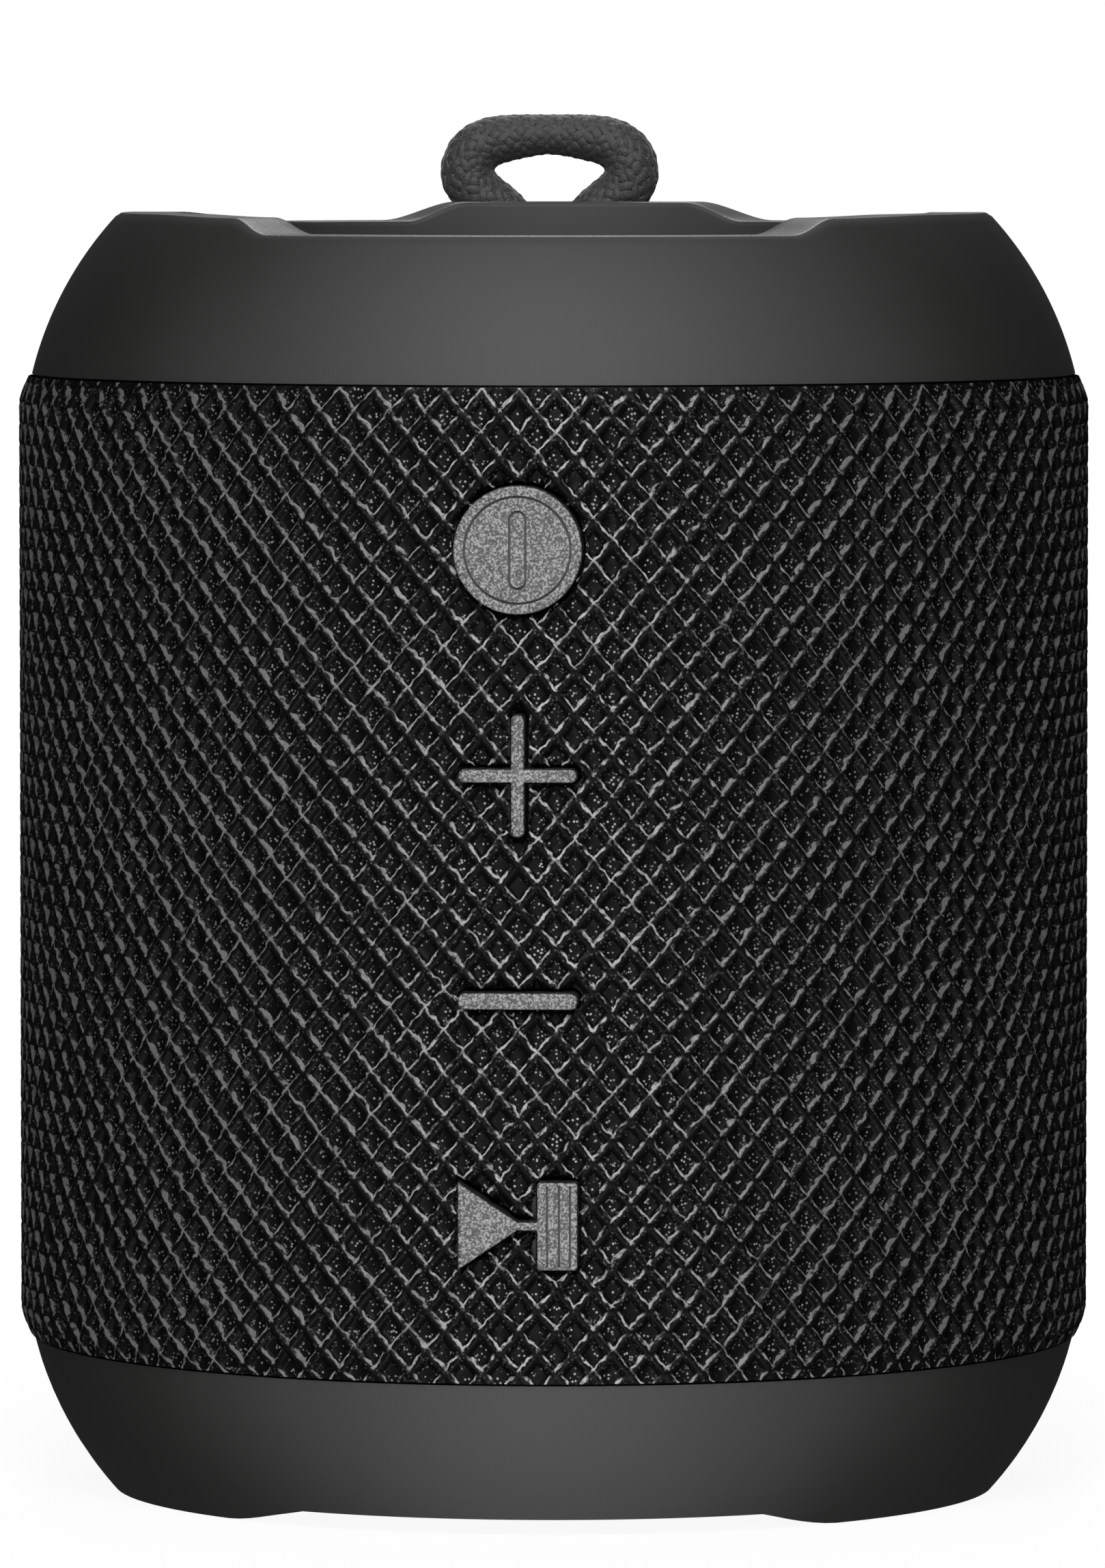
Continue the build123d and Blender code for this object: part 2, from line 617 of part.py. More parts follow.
# ---- wrist loop --------------------------------------------------------------------------------
# The cord leaves its clamp upwards, spreads into a flat teardrop and comes back down.
cord_half_route = [        # X and height above the clamp's pin
    (-2.15, 2.9),
    (-2.15, 5.7),
    (-3.2, 8.6),
    (-7.6, 11.4),
    (-6.6, 14.9),
    (-1.8, 15.7),
]
cord_route = [(lanyard_x + x, lanyard_y, lanyard_pin_z + z) for x, z in cord_half_route]
cord_route += [(lanyard_x - x, lanyard_y, lanyard_pin_z + z) for x, z in reversed(cord_half_route)]
corners = [Vector(*point) for point in cord_route]
cord_radii = []
for before, here, after in zip(corners, corners[1:], corners[2:]):
    turn = (here - before).get_angle(after - here)
    shorter = min((here - before).length, (after - here).length)
    cord_radii.append(0.45 * shorter / tan(radians(turn / 2)))
print("cord radii", [round(radius, 2) for radius in cord_radii])
cord_path = FilletPolyline(*cord_route, radius=cord_radii)
cord_start = Plane(origin=cord_path @ 0, z_dir=cord_path % 0)
lanyard_cord = sweep(cord_start * Circle(cord_diameter / 2), path=cord_path)
section = pi * cord_diameter**2 / 4
print("cord length", round(cord_path.length, 2))
print("cord volume over section x length", round(lanyard_cord.volume / section / cord_path.length, 4))
nodes["lanyard_cord"] = lanyard_cord

clamp_top = 103.2
clamp_depth = 2.4
clamp_half = 5.0
clamp_ends = (lanyard_x - clamp_half, lanyard_x + clamp_half)
clamp = rod_x(clamp_depth, *clamp_ends, lanyard_y, lanyard_pin_z)
clamp += block(
    clamp_ends,
    (lanyard_y - clamp_depth, lanyard_y + clamp_depth),
    (lanyard_pin_z, clamp_top),
)
clamp -= rod_x(pin_radius + running_fit, *clamp_ends, lanyard_y, lanyard_pin_z)
cord_sockets = [
    disc(cord_diameter / 2, cord_route[0][2], clamp_top, point[0], lanyard_y)
    for point in (cord_route[0], cord_route[-1])
]
nodes["lanyard_clamp"] = clamp - cord_sockets
nodes["lanyard_pin"] = lanyard_pin

# ---- write one file per piece -----------------------------------------------------------------
os.makedirs("parts", exist_ok=True)
for node, solid in nodes.items():
    if isinstance(solid, list):
        solid = Compound(children=solid)
    export_step(Pos(0, 0, -foot_trim) * solid, f"parts/{node}.step")
print(len(nodes), "nodes")
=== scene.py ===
import bmesh
import bpy
import json
import math
import numpy as np
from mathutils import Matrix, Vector


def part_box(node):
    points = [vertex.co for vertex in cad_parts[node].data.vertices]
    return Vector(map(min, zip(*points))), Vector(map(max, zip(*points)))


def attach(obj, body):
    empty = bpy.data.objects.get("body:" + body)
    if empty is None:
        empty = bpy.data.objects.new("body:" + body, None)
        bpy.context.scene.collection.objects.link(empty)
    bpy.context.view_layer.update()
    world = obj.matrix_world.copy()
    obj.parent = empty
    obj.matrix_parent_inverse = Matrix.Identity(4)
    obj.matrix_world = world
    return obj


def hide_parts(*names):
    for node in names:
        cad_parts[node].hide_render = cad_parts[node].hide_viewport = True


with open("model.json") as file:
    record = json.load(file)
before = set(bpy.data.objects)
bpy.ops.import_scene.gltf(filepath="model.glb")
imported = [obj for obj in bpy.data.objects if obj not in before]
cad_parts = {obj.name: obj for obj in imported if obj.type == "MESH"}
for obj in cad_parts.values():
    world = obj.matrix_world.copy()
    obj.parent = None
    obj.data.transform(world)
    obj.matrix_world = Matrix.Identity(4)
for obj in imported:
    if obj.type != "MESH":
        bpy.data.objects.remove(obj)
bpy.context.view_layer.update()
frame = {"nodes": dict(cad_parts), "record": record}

# ---- Camera ------------------------------------------------------------------------------------
# A long lens a little above the middle of the speaker and four degrees round to its right, so
# that the drum stands almost without perspective.
VIEW_TURN = math.radians(3.63)
VIEW_DISTANCE = 1.0
VIEW_HEIGHT = 0.1172
VIEW_AIM = (-0.0001, 0.0, 0.0592)
LENS = 272.5                      # in millimetres, on a sensor 36 mm tall
camera_data = bpy.data.cameras.new("camera")
camera_data.sensor_fit = "VERTICAL"
camera_data.sensor_height = 36.0
camera_data.lens = LENS
camera_data.clip_start = 0.01
camera = bpy.data.objects.new("camera", camera_data)
camera.location = (
    VIEW_DISTANCE * math.sin(VIEW_TURN),
    -VIEW_DISTANCE * math.cos(VIEW_TURN),
    VIEW_HEIGHT,
)
toward = Vector(VIEW_AIM) - camera.location
camera.rotation_euler = toward.to_track_quat("-Z", "Y").to_euler()
bpy.context.scene.collection.objects.link(camera)
bpy.context.scene.camera = camera

# ---- Wrist loop --------------------------------------------------------------------------------
# A braided nylon cord bent into a flat teardrop. Both ends sit in a moulded clamp that turns on
# a steel pin in the pocket behind the rim's hump. Twenty-four strands run over a plain core.
MM = 0.001
nodes = frame["nodes"]
pin_low, pin_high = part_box("lanyard_pin")
PIN = [(low + high) / 2 for low, high in zip(pin_low, pin_high)]
CORD = 0.0041
CORD_STEPS = 330
STRANDS = 12                      # in each direction
BRAID_PITCH = 13.0 * MM           # length in which a strand goes once round
STRAND_WIDE = 0.44 * MM
STRAND_THICK = 0.15 * MM
STRAND_DIP = 0.112 * MM           # how far a strand sinks where it passes under
STRAND_CORNERS = 8
CORE = 1.74 * MM
CORE_CORNERS = 20
PLUMP, PLUMP_FROM_TOP, PLUMP_SPREAD = 0.18, 0.22, 0.10     # swelling at the two side bends
SQUEEZE, SQUEEZE_SPREAD = 0.14, 0.07                       # thinning at the tight top bend
half_route = [                    # across from the pin's middle and above it, in millimetres
    (-2.15, 2.9),
    (-2.15, 5.7),
    (-3.2, 8.6),
    (-7.6, 11.4),
    (-6.6, 14.9),
    (-1.8, 15.7),
]
route = [(PIN[0] + x * MM, PIN[1], PIN[2] + z * MM) for x, z in half_route]
route += [(PIN[0] - x * MM, PIN[1], PIN[2] + z * MM) for x, z in reversed(half_route)]


def mesh_piece(name, points, faces, smooth=True):
    """A new mesh object from points in metres and faces, linked into the scene."""
    mesh = bpy.data.meshes.new(name)
    mesh.from_pydata([tuple(p) for p in points], [], [tuple(int(i) for i in f) for f in faces])
    mesh.update()
    mesh.polygons.foreach_set("use_smooth", [smooth] * len(mesh.polygons))
    piece = bpy.data.objects.new(name, mesh)
    bpy.context.scene.collection.objects.link(piece)
    return piece


def nurbs_line(points, resolution):
    """Points along a smooth curve whose control points are given."""
    curve = bpy.data.curves.new("cord_route", "CURVE")
    curve.dimensions = "3D"
    spline = curve.splines.new("NURBS")
    spline.points.add(len(points) - 1)
    for point, place in zip(spline.points, points):
        point.co = (*place, 1.0)
    spline.order_u = 3
    spline.use_endpoint_u = True
    spline.resolution_u = resolution
    holder = bpy.data.objects.new("cord_route", curve)
    mesh = bpy.data.meshes.new_from_object(holder)
    line = np.array([vertex.co for vertex in mesh.vertices])
    bpy.data.meshes.remove(mesh)
    bpy.data.objects.remove(holder)
    bpy.data.curves.remove(curve)
    return line


def evenly(line, count):
    """The line again, as count points at even spacing."""
    steps = np.linalg.norm(np.diff(line, axis=0), axis=1)
    along = np.concatenate([[0], np.cumsum(steps)])
    at = np.linspace(0, along[-1], count)
    return np.stack([np.interp(at, along, line[:, k]) for k in range(3)], axis=1)


def sides_along(line):
    """Side and up vectors along a line that lies in a plane of constant Y."""
    tangent = np.gradient(line, axis=0)
    tangent /= np.linalg.norm(tangent, axis=1)[:, None]
    side = np.tile([0.0, 1.0, 0.0], (len(line), 1))
    return side, np.cross(tangent, side)


def tube(centres, across, outward, wide, thick, corners):
    """Points and faces of a closed tube with an oval section."""
    points, faces = [], []
    for centre, a, o in zip(centres, across, outward):
        for k in range(corners):
            turn = 2 * math.pi * k / corners
            points.append(centre + a * wide * math.cos(turn) + o * thick * math.sin(turn))
    for i in range(len(centres) - 1):
        for k in range(corners):
            j = (k + 1) % corners
            low, high = i * corners, (i + 1) * corners
            faces.append((low + k, low + j, high + j, high + k))
    faces.append(tuple(range(corners - 1, -1, -1)))
    faces.append(tuple(range(len(points) - corners, len(points))))
    return points, faces


route_line = nurbs_line(route, 40)
line = evenly(route_line, CORD_STEPS)
cord_length = float(np.linalg.norm(np.diff(line, axis=0), axis=1).sum())
side, up = sides_along(line)
along = np.linspace(0, cord_length, CORD_STEPS)
from_top = np.abs(along / cord_length - 0.5)
plump = 1 + PLUMP * np.exp(-((from_top - PLUMP_FROM_TOP) / PLUMP_SPREAD) ** 2)
plump -= SQUEEZE * np.exp(-(from_top / SQUEEZE_SPREAD) ** 2)
points, faces = tube(line, side, up, CORE, CORE, CORE_CORNERS)
for hand in (1, -1):
    for strand in range(STRANDS):
        lay = 2 * math.pi * along / BRAID_PITCH
        turn = hand * lay + 2 * math.pi * strand / STRANDS
        over = np.cos(STRANDS * lay + math.pi * (strand + (hand < 0)))
        radius = (CORD / 2 - STRAND_THICK) * plump - STRAND_DIP * (1 - over) / 2
        out = side * np.cos(turn)[:, None] + up * np.sin(turn)[:, None]
        centres = line + out * radius[:, None]
        run = np.gradient(centres, axis=0)
        run /= np.linalg.norm(run, axis=1)[:, None]
        across = np.cross(run, out)
        more, more_faces = tube(
            centres, across, out, STRAND_WIDE, STRAND_THICK, STRAND_CORNERS
        )
        shift = len(points)
        points += more
        faces += [tuple(i + shift for i in face) for face in more_faces]
loop = mesh_piece("lanyard_cord_braid", points, faces)
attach(loop, "lanyard")
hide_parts("lanyard_cord")


def new_material(name):
    """An empty node material with its Principled shader already wired to the output."""
    material = bpy.data.materials.new(name)
    material.use_nodes = True
    shader = material.node_tree.nodes["Principled BSDF"]
    return material, material.node_tree, shader


def put(tree, kind, **sockets):
    """Adds a node of that kind, with values or links for its inputs."""
    node = tree.nodes.new(kind)
    for key, value in sockets.items():
        socket = node.inputs[int(key[1:]) if key[0] == "_" else key.replace("_", " ")]
        if isinstance(value, bpy.types.NodeSocket):
            tree.links.new(value, socket)
        else:
            socket.default_value = value
    return node


def ramp(tree, factor, stops):
    """A colour ramp of (place, grey or colour) stops."""
    node = put(tree, "ShaderNodeValToRGB", Fac=factor)
    elements = node.color_ramp.elements
    while len(elements) < len(stops):
        elements.new(0.5)
    for element, (place, value) in zip(elements, stops):
        element.position = place
        colour = (value,) * 3 if isinstance(value, (int, float)) else tuple(value)
        element.color = (*colour, 1.0)
    return node.outputs["Color"]


def coordinates(tree):
    """The object's own coordinates, in metres."""
    return tree.nodes.new("ShaderNodeTexCoord").outputs["Object"]


def grain_group():
    """Fine random grain: a height that varies at a given size in millimetres."""
    tree = bpy.data.node_groups.new("moulded grain", "ShaderNodeTree")
    tree.interface.new_socket("Place", in_out="INPUT", socket_type="NodeSocketVector")
    tree.interface.new_socket("Size", in_out="INPUT", socket_type="NodeSocketFloat")
    tree.interface.new_socket("Height", in_out="OUTPUT", socket_type="NodeSocketFloat")
    begin = tree.nodes.new("NodeGroupInput")
    end = tree.nodes.new("NodeGroupOutput")
    scale = put(tree, "ShaderNodeMath", _0=1000.0, _1=begin.outputs["Size"])
    scale.operation = "DIVIDE"
    noise = put(
        tree, "ShaderNodeTexNoise",
        Vector=begin.outputs["Place"], Scale=scale.outputs[0], Detail=3.0,
    )
    tree.links.new(noise.outputs["Fac"], end.inputs["Height"])
    return tree


GRAIN = grain_group()


def grain(tree, size):
    """Places the grain group, at a grain size in millimetres."""
    node = tree.nodes.new("ShaderNodeGroup")
    node.node_tree = GRAIN
    tree.links.new(coordinates(tree), node.inputs["Place"])
    node.inputs["Size"].default_value = size
    return node


def bump(tree, height, distance, strength=1.0):
    """A Bump node fed by a height."""
    node = put(tree, "ShaderNodeBump", Height=height, Distance=distance, Strength=strength)
    return node.outputs["Normal"]


def braid_material():
    """Dull dark nylon with a fine twist of filaments."""
    material, tree, shader = new_material("braided nylon")
    fine = grain(tree, 0.16)
    colour = ramp(tree, fine.outputs["Height"], [(0.3, 0.018), (0.7, 0.050)])
    tree.links.new(colour, shader.inputs["Base Color"])
    rough = ramp(tree, fine.outputs["Height"], [(0.2, 0.50), (0.8, 0.68)])
    tree.links.new(rough, shader.inputs["Roughness"])
    tree.links.new(bump(tree, fine.outputs["Height"], 0.00008), shader.inputs["Normal"])
    shader.inputs["Sheen Weight"].default_value = 0.25
    shader.inputs["Sheen Roughness"].default_value = 0.4
    return material


loop.data.materials.append(braid_material())

# ---- Rubber end caps ---------------------------------------------------------------------------
# Two mouldings covered in soft-touch rubber. The top one's raised rim has a scoop at the front
# and, at the rear, a scoop with a hump that hides the wrist loop's pocket; it is drawn again here
# with rounded edges. The bottom one, with its two feet, keeps its own shape.
sleeve_low, sleeve_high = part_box("fabric_sleeve")
LOW, HIGH = sleeve_low[2] / MM, sleeve_high[2] / MM
SEAM_GAP = 0.2
TOP_SEAM = HIGH + SEAM_GAP
LOBES = TOP_SEAM + 13.5           # height of the two lobes of the top rim
SEAM_RADIUS = 43.9
SEAM_LEAN = math.radians(13.7)
CAP_ARC = 30.0
RIM_INNER = 31.5
RIM_EDGE = 0.45                   # radius of the rim's rounded edges
RIM_LEAN = math.radians(33)       # how far the side leans back where it meets the rim
CAP_TURNS = 720                   # points round the cap
SIDE_STEPS, EDGE_STEPS, INNER_STEPS = 26, 6, 5
inside = [                        # radius, and height above the seam, down inside and back out
    (RIM_INNER, 11.2), (RIM_INNER, 9.6), (RIM_INNER, 7.9), (25.5, 7.9), (25.5, 5.9),
    (36.0, 5.9), (39.5, 3.1), (41.0, 0.0),
]
arc_r = SEAM_RADIUS - CAP_ARC * math.cos(SEAM_LEAN)
arc_z = TOP_SEAM - CAP_ARC * math.sin(SEAM_LEAN)


def cap_radius(z):
    return arc_r + np.sqrt(CAP_ARC**2 - (z - arc_z) ** 2)


def eased(x):
    x = np.clip(x, 0, 1)
    return x * x * (3 - 2 * x)


def rim_height(away, levels):
    """Height of the rim at angles from the front, from a list of (angle, height) levels."""
    z = np.full_like(away, levels[0][1])
    for (start, z_start), (end, z_end) in zip(levels, levels[1:]):
        z += (z_end - z_start) * eased((away - start) / (end - start))
    return z


def cap_mesh(name, levels):
    """A closed moulded cap: outer arc, rounded rim, inner wall and underside."""
    angles = np.linspace(0, 360, CAP_TURNS, endpoint=False)
    top = rim_height(np.abs((angles + 180) % 360 - 180), levels)
    level = np.ones(CAP_TURNS)
    profile = []
    for step in range(SIDE_STEPS + 1):
        z = TOP_SEAM + step / SIDE_STEPS * (top - RIM_EDGE * 0.7 - TOP_SEAM)
        profile.append((cap_radius(z), z))
    r_out = cap_radius(top)
    for step in range(1, EDGE_STEPS + 1):
        turn = RIM_LEAN + step / EDGE_STEPS * (math.pi / 2 - RIM_LEAN)
        profile.append((
            r_out - RIM_EDGE * 0.75 + RIM_EDGE * math.cos(turn),
            top - RIM_EDGE + RIM_EDGE * math.sin(turn),
        ))
    for share in (0.25, 0.5, 0.75):
        profile.append((r_out - RIM_EDGE + share * (RIM_INNER + 2 * RIM_EDGE - r_out), top))
    for step in range(INNER_STEPS + 1):
        turn = math.pi / 2 + step / INNER_STEPS * math.pi / 2
        profile.append((
            (RIM_INNER + RIM_EDGE + RIM_EDGE * math.cos(turn)) * level,
            top - RIM_EDGE + RIM_EDGE * math.sin(turn),
        ))
    for r, above in inside:
        profile.append((r * level, (TOP_SEAM + above) * level))
    turn = np.radians(angles - 90)
    points = np.concatenate([
        np.stack([r * np.cos(turn), r * np.sin(turn), z], axis=1) for r, z in profile
    ]) * MM
    faces = []
    for i in range(len(profile)):
        ring, above = i * CAP_TURNS, (i + 1) % len(profile) * CAP_TURNS
        for k in range(CAP_TURNS):
            n = (k + 1) % CAP_TURNS
            faces.append((ring + k, ring + n, above + n, above + k))
    return mesh_piece(name, points, faces)


def carve(piece, cutter):
    """Cuts the cutter's shape out of a piece, and removes the cutter."""
    modifier = piece.modifiers.new("carve", "BOOLEAN")
    modifier.operation = "DIFFERENCE"
    modifier.solver = "EXACT"
    modifier.object = cutter
    bpy.context.view_layer.update()
    graph = bpy.context.evaluated_depsgraph_get()
    mesh = bpy.data.meshes.new_from_object(piece.evaluated_get(graph))
    piece.modifiers.clear()
    piece.data = mesh
    bpy.data.objects.remove(cutter)


def smooth_by_angle(piece, degrees):
    """Smooth shading that keeps the edges sharper than an angle."""
    mesh = piece.data
    mesh.polygons.foreach_set("use_smooth", [True] * len(mesh.polygons))
    work = bmesh.new()
    work.from_mesh(mesh)
    for edge in work.edges:
        if len(edge.link_faces) == 2:
            edge.smooth = edge.calc_face_angle(0.0) < math.radians(degrees)
        else:
            edge.smooth = False
    work.to_mesh(mesh)
    work.free()


def prism(outline, near, far):
    """A cutter: an outline in X and Z, drawn out along Y, all in millimetres."""
    count = len(outline)
    points = [(x * MM, near * MM, z * MM) for x, z in outline]
    points += [(x * MM, far * MM, z * MM) for x, z in outline]
    faces = [tuple(range(count)), tuple(range(2 * count - 1, count - 1, -1))]
    for i in range(count):
        j = (i + 1) % count
        faces.append((j, i, count + i, count + j))
    cutter = mesh_piece("cutter", points, faces, smooth=False)
    work = bmesh.new()
    work.from_mesh(cutter.data)
    bmesh.ops.recalc_face_normals(work, faces=work.faces)
    work.to_mesh(cutter.data)
    work.free()
    return cutter


def rounded(outline, radius, steps=5):
    """The outline with its corners rounded."""
    points = [Vector(p) for p in outline]
    result = []
    for before, here, after in zip(points[-1:] + points[:-1], points, points[1:] + points[:1]):
        a = here + (before - here).normalized() * radius
        b = here + (after - here).normalized() * radius
        for step in range(steps + 1):
            t = step / steps
            result.append(tuple(a * (1 - t) ** 2 + here * 2 * t * (1 - t) + b * t * t))
    return result


rim_levels = [                    # degrees from the front, and height
    (34.5, LOBES - 1.55), (42.3, LOBES - 0.2), (62, LOBES), (95, LOBES),
    (137, LOBES - 1.0), (152.8, LOBES - 1.0), (162.6, LOBES + 0.6),
]
top_cap = cap_mesh("top_cap_rubber", rim_levels)
across = PIN[0] / MM
pocket = [                        # outline of the pocket, in X and Z
    (across - 5.4, 95.3), (across + 5.4, 95.3), (across + 5.4, 102.0), (across + 8.2, 105.2),
    (across + 8.2, 112.0), (across - 8.2, 112.0), (across - 8.2, 105.2), (across - 5.4, 102.0),
]
POCKET_CORNER = 0.8
POCKET_WALL, PAST_THE_CAP = 35.7, 50.0
carve(top_cap, prism(rounded(pocket, POCKET_CORNER), POCKET_WALL, PAST_THE_CAP))
smooth_by_angle(top_cap, 40)


def calc(tree, operation, *values):
    """The result of a Math node."""
    node = tree.nodes.new("ShaderNodeMath")
    node.operation = operation
    for socket, value in zip(node.inputs, values):
        if isinstance(value, bpy.types.NodeSocket):
            tree.links.new(value, socket)
        else:
            socket.default_value = value
    return node.outputs[0]


def soft_touch_material():
    """Satin rubber: a faint pebble and a sheen that is slightly uneven."""
    material, tree, shader = new_material("soft-touch rubber")
    fine = grain(tree, 0.22)
    broad = put(tree, "ShaderNodeTexNoise", Vector=coordinates(tree), Scale=60.0, Detail=2.0)
    colour = ramp(
        tree, broad.outputs["Fac"],
        [(0.3, (0.0105, 0.0120, 0.0100)), (0.7, (0.0125, 0.0140, 0.0120))],
    )
    tree.links.new(colour, shader.inputs["Base Color"])
    face = put(tree, "ShaderNodeLayerWeight", Blend=0.5)
    glancing = ramp(              # the skin is glossier when it is seen edge-on
        tree, face.outputs["Facing"],
        [(0.0, 0.70), (0.22, 0.66), (0.32, 0.59), (0.47, 0.48), (0.75, 0.42)],
    )
    rough = calc(tree, "MULTIPLY_ADD", broad.outputs["Fac"], 0.06, glancing)
    tree.links.new(rough, shader.inputs["Roughness"])
    tree.links.new(bump(tree, fine.outputs["Height"], 0.00002, 0.6), shader.inputs["Normal"])
    shader.inputs["Specular IOR Level"].default_value = 0.80
    return material


soft_touch = soft_touch_material()
top_cap.data.materials.clear()
top_cap.data.materials.append(soft_touch)
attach(top_cap, "body")
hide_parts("top_cap")

# ---- Fabric sleeve -----------------------------------------------------------------------------
# A glossy black nylon air mesh, knitted in staggered diamonds and pulled tight round the shell.
# Its edges are tucked into the seams of the caps, and it is cut round the four keys. It is made
# here as four quarters of one sleeve, which meet on the crests of its strands.
COLUMNS = 93
ROW = 3.45                        # height of a diamond
FULL_RADIUS = 45.0
EDGE_RADIUS = 44.2
SWELL = 2.5
RELIEF = 0.55                     # depth of the holes between the strands
SPACING = 2.29                    # from one strand's middle to the next, across
FLAT, SLOPE = 0.20, 0.44          # half of a strand's flat top, and the width of its slope
TUCK = 0.9                        # how far the fabric turns in round a key
HALF_KEY_HOLE = 5.2               # radius of the hole for the power key
KEY_Z = []
for key in ("power", "volume_up", "volume_down", "play"):
    key_low, key_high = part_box(key + "_button")
    KEY_Z.append((key_low[2] + key_high[2]) / 2 / MM)
cell_lines = np.array([0.0, 0.12, 0.2, 0.28, 0.5, 0.72, 0.8, 0.88])
LINES = len(cell_lines)


def chance(i, j, salt):
    """A fixed random number from 0 to 1 for each pair of whole numbers."""
    n = np.sin(i * 127.1 + j * 311.7 + salt * 74.7) * 43758.5453
    return n - np.floor(n)


def box_distance(x, z, half_x, half_z, corner):
    """Distance from a rounded rectangle, below zero inside it."""
    qx, qz = np.abs(x) - half_x + corner, np.abs(z) - half_z + corner
    outside = np.hypot(np.maximum(qx, 0), np.maximum(qz, 0))
    return outside + np.minimum(np.maximum(qx, qz), 0) - corner


def key_distance(x, z):
    """Distance in X and Z from the nearest key's outline, below zero inside it."""
    power = np.hypot(x, z - KEY_Z[0]) - HALF_KEY_HOLE
    plus_z = z - KEY_Z[1]
    plus = np.minimum(
        box_distance(x, plus_z, 4.8, 0.55, 0.5), box_distance(x, plus_z, 0.55, 4.95, 0.5)
    )
    minus = box_distance(x, z - KEY_Z[2], 4.85, 0.675, 0.6)
    play_z = z - KEY_Z[3]
    bars = box_distance(x - 3.2, play_z, 1.65, 3.575, 0.3)
    link = box_distance(x - 0.85, play_z, 0.95, 0.35, 0.1)
    half_tall, long, left = 3.575, 5.35, -4.85
    slope = math.hypot(half_tall, long)
    slant = (half_tall * (x - left) + long * np.abs(play_z)) / slope - half_tall * long / slope
    arrow = np.maximum(left - x, slant)
    return np.minimum.reduce([power, plus, minus, bars, link, arrow])


def fabric_radius(a, b):
    """Radius of the knit at its own lattice coordinates, in strand spacings."""
    degrees = (a + b) / 2 * 360 / COLUMNS
    z = (a - b) / 2 * ROW
    near_a, near_b = np.round(a), np.round(b)
    cell_a, cell_b = np.floor(a), np.floor(b)
    width_a = 1 + 0.10 * (chance(near_a, cell_b, 1) - 0.5)
    width_b = 1 + 0.10 * (chance(cell_a, near_b, 2) - 0.5)
    off_a = np.abs(a - near_a) * SPACING / width_a
    off_b = np.abs(b - near_b) * SPACING / width_b
    knot_a = np.abs(b - np.round(b)) * SPACING
    knot_b = np.abs(a - np.round(a)) * SPACING
    tall_a = 1 - 0.16 * (1 - eased(knot_a / 0.50))
    tall_b = 0.94 - 0.30 * (1 - eased(knot_b / 0.62))
    strand_a = tall_a * (1 - eased((off_a - FLAT) / SLOPE))
    strand_b = tall_b * (1 - eased((off_b - FLAT) / SLOPE))
    relief = np.maximum(strand_a, strand_b) + 0.10 * np.minimum(strand_a, strand_b)
    from_edge = np.minimum(z - LOW, HIGH - z)
    swell = eased(np.clip(from_edge / SWELL, 0, 1) * 0.5 + 0.5) * 2 - 1
    body = EDGE_RADIUS + (FULL_RADIUS - EDGE_RADIUS) * np.clip(swell, 0, 1)
    depth = RELIEF * (0.25 + 0.75 * eased(from_edge / 1.2))
    radius = body - depth * (1 - relief)
    x = radius * np.sin(np.radians(degrees))
    front = np.cos(np.radians(degrees)) > 0
    gap = np.where(front, key_distance(x, z), 99.0)
    tuck = 1 - eased((gap - 0.05) / 0.30)
    return radius - TUCK * tuck, degrees, z, gap


def fabric_point(a, b):
    """The point of the knit at its own lattice coordinates."""
    radius, degrees, z, _ = fabric_radius(a, b)
    turn = np.radians(degrees)
    return np.stack([radius * np.sin(turn), -radius * np.cos(turn), z], axis=-1)


